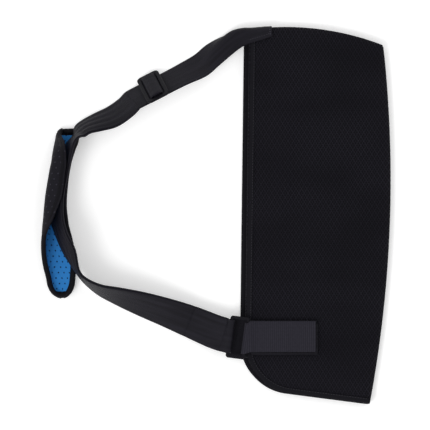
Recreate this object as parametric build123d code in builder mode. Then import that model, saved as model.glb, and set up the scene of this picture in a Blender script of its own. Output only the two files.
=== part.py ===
"""Arm sling: a mesh forearm pouch, a looped webbing neck strap with its slider,
end buckle and hook-and-loop tab, and a folding padded neck cover.

The sling lies on its back. +Z is up, +Y runs from the hand end to the elbow end,
and the pouch opens towards -X. Units are millimetres.
"""

from build123d import *

import math
import os

# ---------------------------------------------------------------- pouch
PANEL_T = 3.0  # spacer mesh
POUCH_GAP = 8.0  # free height between the two panels
FRONT_Z = PANEL_T + POUCH_GAP  # underside of the front panel
RIM_W = 4.0  # width of the turned side and elbow seams
FRONT_INSET = 6.0  # the front panel stops short of the back one at the mouth
BIND_W = 6.5  # binding tape seen on each face
BIND_T = 0.8
SEAM_GAP = 0.3
EDGE_BREAK = 0.5  # chamfer on moulded edges

MOUTH_TOP = (35.5, 219.0)  # mouth edge at the elbow end
MOUTH_BOTTOM = (30.0, -204.5)  # mouth edge at the hand end, before rounding
HAND_CORNER = (182.5, -223.2)
SIDE_MIDDLE = (206.6, 0.0)
ELBOW_CORNER = (198.5, 200.5)
ELBOW_MIDDLE = (105.0, 221.0)
CORNER_R = 60.0
OUTSIDE = 12.0  # an inset of minus this reaches clear of the pouch

# ---------------------------------------------------------------- webbing
WEB_W = 38.0
WEB_T = 1.4
PLY_GAP = 0.2
PLY_SHIFT = 2.5  # the under ply shows this far beyond the top one
SLOT_WEB_W = WEB_W - 1.0  # webbing squeezed in the slider's slots
THREAD_T = 0.5

# The strap's end at the elbow corner, folded lengthwise over the pouch's edge.
ELBOW_FRONT_CORNERS = [(36.0, 219.5), (64.5, 222.3), (69.0, 211.5), (36.0, 202.0)]
ELBOW_BACK_CORNERS = [(34.0, 217.5), (64.0, 219.0), (64.0, 206.0), (32.5, 195.0)]
ELBOW_STITCH_CORNERS = [(44.0, 214.5), (61.5, 216.5), (63.5, 212.5), (45.0, 208.5)]
ELBOW_FOLD_MIDDLE = (51.0, 220.0)
ELBOW_FOLD_SPAN = (30.0, 12.0)
ELBOW_RECESS_MARGIN = 0.5

# ---------------------------------------------------------------- end buckle
BUCKLE_Z = 19.1  # height of the ring's middle plane
BUCKLE_TURN = -7.5  # degrees about +Z
BUCKLE_PIVOT = (36.6, -146.0)  # middle of the bar that the tab holds
BUCKLE_LENGTH = 50.0
BUCKLE_DEPTH = 23.0
BUCKLE_BAR = 3.4
BUCKLE_T = 3.0
BUCKLE_R = 3.0
BUCKLE_INNER_R = 1.0
WRAP_LEG = 2.0  # straight part of the strap's turn round the far bar

# Tongue behind the ring, sewn under the front panel's edge.
BACKING_L = 38.0
BACKING_START = -3.0  # its free end, measured along the strap from the far bar
BACKING_W = 44.0
BACKING_T = 1.0
BACKING_R = 4.0

# ---------------------------------------------------------------- tab
TAB_W = 36.0
TAB_T = 1.2
TAB_END = 119.0
TAB_Y = -143.6
TAB_BASE_END = 121.5
TAB_BASE_Y = -147.0
PATCH_T = 1.0
PATCH_START = 50.0
PATCH_W = TAB_W - 4.0
LOOP_PATCH_Y = TAB_Y - 1.0
TAPE_CORNER_R = 1.0

# ---------------------------------------------------------------- slider
SLIDER_W = 48.0
SLIDER_L = 28.0
SLIDER_T = 3.0
SLOT_W = 38.8
SLOT_L = 7.0
CENTRE_BAR = 5.0
SLIDER_CORNER_R = 5.0
SLOT_R = 1.0
SLIDER_LIFT = 2.8  # underside of the frame above the middle of the top ply
END_LOOP_OUTER_R = 1.6
END_LOOP_INNER_R = 0.5

# ---------------------------------------------------------------- neck pad
SHELL_T = 3.0
LINING_T = 1.0
LAYER_GAP = 0.1
RIM_TAPE_W = 2.4
RIM_TAPE_OVER = 0.8  # how far the tape stands proud of each face
FOLD_STRIP = 8.0  # width of the strip that lies on the floor
FOLD_LIFT = 3.0  # height of the folding wall's foot

# Stations of the strap, elbow to buckle: x, y, height of its lower edge, lean.
# The lean is the angle of the webbing from flat, with the loop's inner edge up.
ELBOW_STATIONS = [
    (31.0, 206.5, 3.0, 24),
    (18.0, 201.0, 2.5, 29),
    (4.0, 192.0, 1.8, 35),
    (-17.0, 177.0, 1.4, 40),
    (-36.0, 167.2, 1.9, 45),
    (-50.0, 160.0, 2.2, 47),
    (-94.0, 137.5, 2.2, 47),
]
SHOULDER_STATIONS = [
    (-98.0, 135.4, 2.2, 47),
    (-106.0, 127.5, 1.8, 48),
    (-121.0, 117.5, 1.5, 50),
    (-138.5, 111.0, 2.0, 57),
    (-151.0, 106.0, 4.5, 63),
    (-160.0, 99.5, 8.0, 65),
]
NECK_STATIONS = [
    (-166.6, 92.0, 9.5, 66),
    (-174.5, 79.0, 8.5, 63),
    (-181.5, 55.0, 6.0, 60),
    (-186.0, 27.0, 5.0, 59),
    (-186.5, 0.0, 5.5, 61),
    (-181.0, -22.0, 8.5, 68),
    (-171.9, -44.0, 11.0, 76),
]
BUCKLE_STATIONS = [
    (-162.3, -66.2, 10.0, 84),
    (-153.0, -78.5, 6.0, 81),
    (-136.0, -89.5, 2.0, 72),
    (-115.0, -97.0, 1.5, 60),
    (-88.0, -106.0, 1.5, 46),
    (-59.0, -116.0, 2.0, 34),
    (-30.0, -127.0, 4.5, 21),
    (-3.0, -138.0, 13.5, 9),
    (10.0, -142.2, 19.0, 2),
]
STRAP = ELBOW_STATIONS + SHOULDER_STATIONS + NECK_STATIONS + BUCKLE_STATIONS
SLIDER_START = len(ELBOW_STATIONS) - 2
SHOULDER_START = len(ELBOW_STATIONS)
NECK_START = SHOULDER_START + len(SHOULDER_STATIONS)
BUCKLE_START = NECK_START + len(NECK_STATIONS)
STRAP_END = len(STRAP) - 1

# Stations of the neck pad, elbow end first: y, x of the inner wall's foot, its
# width and lean, then the same for the folding wall.
PAD_STATIONS = [
    (97, -174.0, 12, 16, -184.0, 14, 72),
    (80, -180.0, 20, 22, -192.0, 30, 70),
    (55, -183.6, 30, 56, -198.5, 36, 70),
    (25, -188.0, 34, 61, -200.0, 37, 72),
    (0, -187.4, 34, 59, -200.0, 37, 84),
    (-22, -183.0, 24, 38, -197.5, 36, 100),
    (-44, -180.0, 19, 20, -188.7, 30, 120),
    (-68, -180.0, 16, 10, -189.0, 27, 124),
    (-88, -179.0, 10, 8, -189.0, 15, 122),
    (-98, -178.5, 5, 6, -188.0, 6, 120),
]


# ================================================================ pouch
def pouch_outline(left=0.0, bottom=0.0, side=0.0, top=0.0):
    """The pouch seen from above, with each edge moved in by its distance."""
    mouth_top = (MOUTH_TOP[0] + left, MOUTH_TOP[1] - top)
    mouth_bottom = (MOUTH_BOTTOM[0] + left, MOUTH_BOTTOM[1] + bottom)
    hand = (HAND_CORNER[0] - side, HAND_CORNER[1] + bottom)
    elbow = (ELBOW_CORNER[0] - side, ELBOW_CORNER[1] - top)
    with BuildSketch() as outline:
        with BuildLine():
            Line(mouth_top, mouth_bottom)
            Line(mouth_bottom, hand)
            ThreePointArc(hand, (SIDE_MIDDLE[0] - side, SIDE_MIDDLE[1]), elbow)
            ThreePointArc(elbow, (ELBOW_MIDDLE[0], ELBOW_MIDDLE[1] - top), mouth_top)
        make_face()
        rounded = outline.vertices().sort_by_distance((*mouth_bottom, 0))[:1]
        fillet(rounded, CORNER_R - min(left, bottom))
    return outline.sketch


def bound_edge_cut(inset, cut):
    """What is left of the pouch once its mouth and hand edges lose a margin."""
    return pouch_outline(left=inset + cut, bottom=cut, side=-OUTSIDE, top=-OUTSIDE)


def seam_side_cut(margin):
    """What is left of the pouch once its side and elbow edges lose a margin."""
    return pouch_outline(left=-OUTSIDE, bottom=-OUTSIDE, side=margin, top=margin)


def panel(inset, z_low, tongue_low, tongue_high, rim_low, rim_high):
    """A mesh panel, thinner inside its binding, with a turned rim on two sides."""
    with BuildPart() as mesh_panel:
        with BuildSketch(Plane.XY.offset(z_low)):
            add(pouch_outline(left=inset))
            add(bound_edge_cut(inset, BIND_W), mode=Mode.INTERSECT)
        extrude(amount=PANEL_T)
        with BuildSketch(Plane.XY.offset(tongue_low)):
            add(pouch_outline(left=inset))
            add(bound_edge_cut(inset, BIND_T + LAYER_GAP), mode=Mode.INTERSECT)
        extrude(amount=tongue_high - tongue_low)
        with BuildSketch(Plane.XY.offset(rim_low)):
            add(pouch_outline(left=inset))
            add(bound_edge_cut(inset, BIND_W), mode=Mode.INTERSECT)
            add(seam_side_cut(RIM_W), mode=Mode.SUBTRACT)
        extrude(amount=rim_high - rim_low)
    return mesh_panel


def binding(inset, z_low, z_high):
    """Tape folded over the mouth and hand edges of one panel."""
    with BuildPart() as tape:
        with BuildSketch(Plane.XY.offset(z_low)):
            add(pouch_outline(left=inset))
            add(bound_edge_cut(inset, BIND_W), mode=Mode.SUBTRACT)
        extrude(amount=z_high - z_low)
        with BuildSketch(Plane.XY.offset(z_low + BIND_T)):
            add(pouch_outline(left=inset))
            add(bound_edge_cut(inset, BIND_T), mode=Mode.INTERSECT)
        extrude(amount=z_high - z_low - 2 * BIND_T, mode=Mode.SUBTRACT)
    return tape


def patch(corners, z_low, thickness):
    """A flat piece with the given corners."""
    with BuildPart() as flat:
        with BuildSketch(Plane.XY.offset(z_low)):
            with BuildLine():
                Polyline(*corners, close=True)
            make_face()
        extrude(amount=thickness)
    return flat


# ================================================================ webbing
def strap_planes(lift=0.0, shift=0.0):
    """A section plane at each station: x across the webbing, z along it."""
    spots = [Vector(x, y) for x, y, _, _ in STRAP]
    runs = [(b - a).normalized() for a, b in zip(spots, spots[1:])]
    planes = []
    for i, (x, y, low, lean) in enumerate(STRAP):
        before = runs[max(i - 1, 0)]
        after = runs[min(i, len(runs) - 1)]
        heading = (before + after).normalized()
        inward = Vector(-heading.Y, heading.X)
        slope = math.radians(lean)
        across = inward * math.cos(slope) + Vector(0, 0, math.sin(slope))
        face = heading.cross(across)
        middle = Vector(x, y, low + WEB_W / 2 * math.sin(slope))
        origin = middle + face * lift + across * shift
        planes.append(Plane(origin=origin, x_dir=across, z_dir=heading))
    return planes


def webbing(first, last, lift=0.0, shift=0.0):
    """One stretch of webbing, just short of the stations at its two ends."""
    sections = strap_planes(lift, shift)[first : last + 1]
    sections[0] = sections[0].offset(SEAM_GAP / 2)
    sections[-1] = sections[-1].offset(-SEAM_GAP / 2)
    with BuildPart() as stretch:
        for plane in sections:
            with BuildSketch(plane):
                Rectangle(WEB_W, WEB_T)
        loft(ruled=True)
    return stretch


def under_ply(first, last):
    """The ply that lies under a stretch and shows beyond its inner edge."""
    return webbing(first, last, -(WEB_T + PLY_GAP), PLY_SHIFT)


# ================================================================ neck pad
def pad_plane(y):
    """A vertical section plane across the neck pad: x stays x, its y is up."""
    return Plane(origin=(0, y, 0), x_dir=(1, 0, 0), z_dir=(0, -1, 0))


def inner_wall_section(foot, width, lean, low, high):
    """The floor strip and the wall that leans inward, between two offsets."""
    slope = math.radians(lean)
    along = (math.cos(slope), math.sin(slope))

    def edge(offset):
        corner = (foot - offset * math.tan(slope / 2), offset)
        tip_x = foot + width * along[0] - offset * along[1]
        tip_z = width * along[1] + offset * along[0]
        return [(foot - FOLD_STRIP, offset), corner, (tip_x, tip_z)]

    return edge(low) + edge(high)[::-1]


def wall_band(foot, lean, start, end, low, high):
    """A strip of a wall, from one distance up it to another."""
    slope = math.radians(lean)
    along = (math.cos(slope), math.sin(slope))
    face = (-along[1], along[0])
    corners = [(start, low), (end, low), (end, high), (start, high)]
    return [
        (
            foot[0] + a * along[0] + o * face[0],
            foot[1] + a * along[1] + o * face[1],
        )
        for a, o in corners
    ]


def pad_loft(section_of):
    """A pad layer lofted through the sections that section_of gives."""
    with BuildPart() as layer:
        for station in PAD_STATIONS:
            with BuildSketch(pad_plane(station[0])):
                with BuildLine():
                    Polyline(*section_of(station), close=True)
                make_face()
        loft(ruled=True)
    return layer


def inner_layer(low, high):
    """A layer of the wall under the strap, short of its bound edge."""
    return pad_loft(
        lambda s: inner_wall_section(s[1], s[2] - RIM_TAPE_W, s[3], low, high)
    )


def folding_layer(low, high):
    """A layer of the wall that folds over the strap, short of its bound edge."""
    return pad_loft(
        lambda s: wall_band((s[4], FOLD_LIFT), s[6], 0, s[5] - RIM_TAPE_W, low, high)
    )


# ================================================================ the pieces
def write(name, piece):
    """Labels one piece and writes it as STEP."""
    piece.part.label = name
    export_step(piece.part, f"parts/{name}.step")


os.makedirs("parts", exist_ok=True)

# ---- pouch, back half
seam_level = PANEL_T + POUCH_GAP / 2
back_tape_top = PANEL_T + BIND_T
back_panel = panel(
    0,
    0,
    BIND_T + LAYER_GAP,
    PANEL_T - LAYER_GAP,
    PANEL_T,
    seam_level - SEAM_GAP / 2,
)
back_binding = binding(0, 0, back_tape_top)

with BuildPart() as patch_recess:
    with BuildSketch():
        with BuildLine():
            Polyline(*ELBOW_BACK_CORNERS, close=True)
        make_face()
        offset(amount=ELBOW_RECESS_MARGIN)
    extrude(amount=WEB_T + SEAM_GAP)
with back_panel:
    add(patch_recess.part, mode=Mode.SUBTRACT)
with back_binding:
    add(patch_recess.part, mode=Mode.SUBTRACT)

# ---- pouch, front half
front_top = FRONT_Z + PANEL_T
front_panel = panel(
    FRONT_INSET,
    FRONT_Z,
    FRONT_Z + LAYER_GAP,
    front_top - LAYER_GAP,
    seam_level + SEAM_GAP / 2,
    FRONT_Z,
)
front_binding = binding(FRONT_INSET, FRONT_Z - BIND_T, front_top + BIND_T)

# ---- strap end, folded lengthwise over the elbow edge
on_front = front_top + BIND_T + SEAM_GAP
strap_elbow_front = patch(ELBOW_FRONT_CORNERS, on_front, WEB_T)
strap_elbow_back = patch(ELBOW_BACK_CORNERS, 0, WEB_T)
with BuildPart() as strap_elbow_fold:
    with BuildSketch():
        add(pouch_outline(top=-(SEAM_GAP + WEB_T)))
        add(seam_side_cut(-SEAM_GAP), mode=Mode.SUBTRACT)
        with Locations(ELBOW_FOLD_MIDDLE):
            Rectangle(*ELBOW_FOLD_SPAN, mode=Mode.INTERSECT)
    extrude(amount=on_front - SEAM_GAP)

# ---- strap between its fittings
strap_elbow_run = webbing(0, SHOULDER_START)
strap_shoulder_run = webbing(SHOULDER_START, NECK_START)
strap_shoulder_under = under_ply(SHOULDER_START, NECK_START)
strap_neck_run = webbing(NECK_START, BUCKLE_START)
strap_neck_under = under_ply(NECK_START, BUCKLE_START)
strap_buckle_run = webbing(BUCKLE_START, STRAP_END)
strap_buckle_under = under_ply(BUCKLE_START, STRAP_END)

# ---- slider, on the straight stretch of the strap
slider_ends = strap_planes()[SLIDER_START : SLIDER_START + 2]
slider_middle = (slider_ends[0].origin + slider_ends[1].origin) * 0.5
slider_face = slider_ends[0].y_dir
slider_plane = Plane(
    origin=slider_middle + slider_face * SLIDER_LIFT,
    x_dir=slider_ends[0].z_dir,
    z_dir=slider_face,
)
slot_middle = (CENTRE_BAR + SLOT_L) / 2
with BuildPart() as slider_frame:
    with BuildSketch(slider_plane):
        RectangleRounded(SLIDER_L, SLIDER_W, SLIDER_CORNER_R)
        with Locations((slot_middle, 0), (-slot_middle, 0)):
            RectangleRounded(SLOT_L, SLOT_W, SLOT_R, mode=Mode.SUBTRACT)
    extrude(amount=SLIDER_T)
    chamfer(slider_frame.edges().filter_by(lambda e: e.length > SLOT_L * 2), EDGE_BREAK)

slider_side = Plane(
    origin=slider_plane.origin - slider_plane.y_dir * SLOT_WEB_W / 2,
    x_dir=slider_plane.x_dir,
    z_dir=slider_plane.y_dir,
)
wrap_length = CENTRE_BAR + 2 * SEAM_GAP
wrap_height = SLIDER_T + 2 * SEAM_GAP
bar_level = -SLIDER_T / 2
with BuildPart() as strap_end_wrap:
    with BuildSketch(slider_side):
        with Locations((0, bar_level)):
            RectangleRounded(
                wrap_length + 2 * WEB_T, wrap_height + 2 * WEB_T, END_LOOP_OUTER_R
            )
            RectangleRounded(
                wrap_length, wrap_height, END_LOOP_INNER_R, mode=Mode.SUBTRACT
            )
    extrude(amount=SLOT_WEB_W)

arch_inside = wrap_length + 2 * WEB_T + 2 * PLY_GAP
arch_outside = arch_inside + 2 * WEB_T
arch_crown = SLIDER_T + SEAM_GAP + WEB_T + PLY_GAP
arch_foot = SEAM_GAP + WEB_T
with BuildPart() as strap_slider_arch:
    with BuildSketch(slider_side):
        with BuildLine():
            Polyline(
                (-arch_outside / 2, arch_foot),
                (-arch_outside / 2, -arch_crown),
                (-arch_inside / 2, -arch_crown - WEB_T),
                (arch_inside / 2, -arch_crown - WEB_T),
                (arch_outside / 2, -arch_crown),
                (arch_outside / 2, arch_foot),
                (arch_inside / 2, arch_foot),
                (arch_inside / 2, -arch_crown),
                (-arch_inside / 2, -arch_crown),
                (-arch_inside / 2, arch_foot),
                close=True,
            )
        make_face()
    extrude(amount=SLOT_WEB_W)

# ---- end buckle and the strap round its far bar
pivot = Vector(*BUCKLE_PIVOT, BUCKLE_Z)
turn = math.radians(BUCKLE_TURN)
buckle_x = Vector(math.cos(turn), math.sin(turn))
bar_axis = Vector(-math.sin(turn), math.cos(turn))
bar_spacing = BUCKLE_DEPTH - BUCKLE_BAR
buckle_plane = Plane(
    origin=pivot - buckle_x * bar_spacing / 2 - Vector(0, 0, BUCKLE_T / 2),
    x_dir=buckle_x,
    z_dir=(0, 0, 1),
)
with BuildPart() as end_buckle:
    with BuildSketch(buckle_plane):
        RectangleRounded(BUCKLE_DEPTH, BUCKLE_LENGTH, BUCKLE_R)
        RectangleRounded(
            BUCKLE_DEPTH - 2 * BUCKLE_BAR,
            BUCKLE_LENGTH - 2 * BUCKLE_BAR,
            BUCKLE_INNER_R,
            mode=Mode.SUBTRACT,
        )
    extrude(amount=BUCKLE_T)
    chamfer(end_buckle.edges().filter_by(lambda e: e.length > BUCKLE_T * 1.5), EDGE_BREAK)


def across_bar(centre, width):
    """A plane across a buckle bar: x along the strap, y up, z along the bar."""
    return Plane(
        origin=centre + bar_axis * width / 2,
        x_dir=buckle_x,
        z_dir=-bar_axis,
    )


wrap_r = math.hypot(BUCKLE_BAR, BUCKLE_T) / 2 + SEAM_GAP
far_bar = pivot - buckle_x * bar_spacing
with BuildPart() as strap_buckle_wrap:
    with BuildSketch(across_bar(far_bar, WEB_W)):
        with Locations((-WRAP_LEG / 2, 0)):
            SlotCenterToCenter(WRAP_LEG, 2 * (wrap_r + WEB_T))
            SlotCenterToCenter(WRAP_LEG, 2 * wrap_r, mode=Mode.SUBTRACT)
        with Locations((-WRAP_LEG - wrap_r - WEB_T, 0)):
            Rectangle(
                2 * (wrap_r + WEB_T), 4 * (wrap_r + WEB_T), mode=Mode.SUBTRACT
            )
    extrude(amount=WEB_W)

backing_middle = far_bar + buckle_x * (BACKING_START + BACKING_L / 2)
backing_low = FRONT_Z - BIND_T - LAYER_GAP - BACKING_T
with BuildPart() as buckle_backing:
    with BuildSketch(
        Plane(
            origin=(backing_middle.X, backing_middle.Y, backing_low),
            x_dir=buckle_x,
            z_dir=(0, 0, 1),
        )
    ):
        RectangleRounded(BACKING_L, BACKING_W, BACKING_R)
    extrude(amount=BACKING_T)

# ---- tab: base sewn to the front panel, flap folded round the near bar
base_top = on_front + TAB_T
loop_top = base_top + LAYER_GAP + PATCH_T
hook_top = loop_top + LAYER_GAP + PATCH_T
flap_low = hook_top + LAYER_GAP
base_start = pivot.X + wrap_r + 2 * TAB_T


def strip(start, end, centre_y, width, z_low, thickness):
    """A flat strip along X."""
    with BuildPart() as flat:
        with BuildSketch(Plane.XY.offset(z_low)):
            with Locations(((start + end) / 2, centre_y)):
                RectangleRounded(end - start, width, TAPE_CORNER_R)
        extrude(amount=thickness)
    return flat


tab_base = strip(base_start, TAB_BASE_END, TAB_BASE_Y, TAB_W, on_front, TAB_T)
tab_loop_patch = strip(
    PATCH_START,
    TAB_END - PATCH_T,
    LOOP_PATCH_Y,
    PATCH_W,
    base_top + LAYER_GAP,
    PATCH_T,
)
tab_hook_patch = strip(
    PATCH_START,
    TAB_END - 2 * PATCH_T,
    TAB_Y,
    PATCH_W,
    loop_top + LAYER_GAP,
    PATCH_T,
)
fold_top = pivot.Z + wrap_r
with BuildPart() as tab_flap:
    with BuildSketch(Plane.XZ.offset(-(TAB_Y + TAB_W / 2))):
        with BuildLine():
            Polyline(
                (pivot.X, fold_top),
                (pivot.X + wrap_r + TAB_T, fold_top),
                (PATCH_START, flap_low),
                (TAB_END, flap_low),
                (TAB_END, flap_low + TAB_T),
                (PATCH_START, flap_low + TAB_T),
                (pivot.X + wrap_r + TAB_T, fold_top + TAB_T),
                (pivot.X, fold_top + TAB_T),
                close=True,
            )
        make_face()
    extrude(amount=TAB_W)
    with BuildSketch(across_bar(pivot, TAB_W)):
        Circle(wrap_r + TAB_T)
        Circle(wrap_r, mode=Mode.SUBTRACT)
        with Locations((wrap_r + TAB_T, 0)):
            Rectangle(
                2 * (wrap_r + TAB_T), 4 * (wrap_r + TAB_T), mode=Mode.SUBTRACT
            )
    extrude(amount=TAB_W)

# ---- neck pad: the wall under the strap and the wall that folds over it
lining_low = SHELL_T + LAYER_GAP
lining_high = lining_low + LINING_T
pad_shell = inner_layer(0, SHELL_T)
pad_lining = inner_layer(lining_low, lining_high)
pad_binding = pad_loft(
    lambda s: wall_band(
        (s[1], 0),
        s[3],
        s[2] - RIM_TAPE_W + LAYER_GAP,
        s[2],
        0,
        lining_high + RIM_TAPE_OVER,
    )
)
pad_flap_lining = folding_layer(0, LINING_T)
pad_flap_shell = folding_layer(LINING_T + LAYER_GAP, LINING_T + LAYER_GAP + SHELL_T)
pad_flap_binding = pad_loft(
    lambda s: wall_band(
        (s[4], FOLD_LIFT),
        s[6],
        s[5] - RIM_TAPE_W + LAYER_GAP,
        s[5],
        -RIM_TAPE_OVER,
        lining_high,
    )
)

# ---- stitching that holds sewn ends
elbow_stitching = patch(
    ELBOW_STITCH_CORNERS,
    on_front + WEB_T + LAYER_GAP,
    THREAD_T,
)

pieces = {
    "back_panel": back_panel,
    "back_binding": back_binding,
    "front_panel": front_panel,
    "front_binding": front_binding,
    "strap_elbow_front": strap_elbow_front,
    "strap_elbow_back": strap_elbow_back,
    "strap_elbow_fold": strap_elbow_fold,
    "elbow_stitching": elbow_stitching,
    "strap_elbow_run": strap_elbow_run,
    "strap_shoulder_run": strap_shoulder_run,
    "strap_shoulder_under": strap_shoulder_under,
    "strap_neck_run": strap_neck_run,
    "strap_neck_under": strap_neck_under,
    "strap_buckle_run": strap_buckle_run,
    "strap_buckle_under": strap_buckle_under,
    "slider_frame": slider_frame,
    "strap_end_wrap": strap_end_wrap,
    "strap_slider_arch": strap_slider_arch,
    "end_buckle": end_buckle,
    "strap_buckle_wrap": strap_buckle_wrap,
    "buckle_backing": buckle_backing,
    "tab_base": tab_base,
    "tab_loop_patch": tab_loop_patch,
    "tab_hook_patch": tab_hook_patch,
    "tab_flap": tab_flap,
    "pad_shell": pad_shell,
    "pad_lining": pad_lining,
    "pad_binding": pad_binding,
    "pad_flap_shell": pad_flap_shell,
    "pad_flap_lining": pad_flap_lining,
    "pad_flap_binding": pad_flap_binding,
}
for piece_name, piece in pieces.items():
    write(piece_name, piece)
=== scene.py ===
"""The looks of the arm sling: its mesh pouch, webbing strap, hook-and-loop tab
and padded neck cover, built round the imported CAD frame. The stage, the materials
and the frame are in metres; shapes are drawn in millimetres and scaled as made."""

import math

import bpy
import numpy as np
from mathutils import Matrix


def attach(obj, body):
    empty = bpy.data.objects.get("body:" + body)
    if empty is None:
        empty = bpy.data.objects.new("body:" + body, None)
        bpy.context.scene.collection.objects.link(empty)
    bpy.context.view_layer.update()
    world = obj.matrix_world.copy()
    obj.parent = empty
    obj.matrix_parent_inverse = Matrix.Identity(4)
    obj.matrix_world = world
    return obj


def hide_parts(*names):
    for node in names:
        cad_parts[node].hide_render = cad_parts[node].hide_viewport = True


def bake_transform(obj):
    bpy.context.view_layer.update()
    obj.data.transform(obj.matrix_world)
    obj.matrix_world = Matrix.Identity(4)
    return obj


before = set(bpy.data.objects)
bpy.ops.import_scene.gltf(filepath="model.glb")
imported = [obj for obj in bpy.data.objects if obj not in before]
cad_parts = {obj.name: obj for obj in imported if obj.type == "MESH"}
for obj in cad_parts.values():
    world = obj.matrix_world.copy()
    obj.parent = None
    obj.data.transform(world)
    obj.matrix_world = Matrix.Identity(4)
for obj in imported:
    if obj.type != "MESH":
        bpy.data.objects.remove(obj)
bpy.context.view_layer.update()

MM = 0.001
UP = np.array((0.0, 0.0, 1.0))


# ---- stage ----
VIEW_SIDE = 0.5106  # width of floor that the picture takes in
CAMERA_HEIGHT = 4.0
SENSOR = 36.0
WHITE = (1.0, 1.0, 1.0, 1.0)
FLOOR_COLOUR = (0.93, 0.93, 0.93, 1.0)
FLOOR_SIZE = 12.0
FLOOR_DROP = 0.0004  # the floor lies this far below the part
FLOOR_GLOW = 0.25
SKY_STRENGTH = 0.72
# Each soft light: its name, place, width and power.
LIGHTS = [
    ("key", (-1.2, -1.25, 2.0), 1.1, 25.0),
    ("fill", (1.3, 1.2, 1.8), 1.6, 8.0),
]


def build_stage():
    """A pale floor, a camera straight above it, and soft lights."""
    scene = bpy.context.scene
    camera = bpy.data.objects.new("camera", bpy.data.cameras.new("camera"))
    camera.data.sensor_width = SENSOR
    camera.data.lens = SENSOR * CAMERA_HEIGHT / VIEW_SIDE
    camera.data.clip_end = 50.0
    camera.location = (0.0, 0.0, CAMERA_HEIGHT)
    scene.collection.objects.link(camera)
    scene.camera = camera

    bpy.ops.mesh.primitive_plane_add(size=FLOOR_SIZE, location=(0.0, 0.0, -FLOOR_DROP))
    floor = bpy.context.object
    floor.name = "floor"
    floor_material = bpy.data.materials.new("floor")
    floor_material.use_nodes = True
    shader = floor_material.node_tree.nodes["Principled BSDF"]
    shader.inputs["Base Color"].default_value = FLOOR_COLOUR
    shader.inputs["Roughness"].default_value = 0.9
    shader.inputs["Specular IOR Level"].default_value = 0.1
    shader.inputs["Emission Color"].default_value = WHITE
    shader.inputs["Emission Strength"].default_value = FLOOR_GLOW
    floor.data.materials.append(floor_material)

    world = bpy.data.worlds.new("studio")
    world.use_nodes = True
    sky = world.node_tree.nodes["Background"]
    sky.inputs["Color"].default_value = WHITE
    sky.inputs["Strength"].default_value = SKY_STRENGTH
    scene.world = world
    scene.view_settings.view_transform = "Standard"

    for name, place, size, power in LIGHTS:
        lamp = bpy.data.objects.new(name, bpy.data.lights.new(name, "AREA"))
        lamp.data.size = size
        lamp.data.energy = power
        lamp.location = place
        aim = -lamp.location.normalized()
        lamp.rotation_euler = aim.to_track_quat("-Z", "Y").to_euler()
        scene.collection.objects.link(lamp)


# ---- materials ----
DOT_SOFTNESS = 0.3  # share of a dot's radius over which its edge fades


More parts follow.
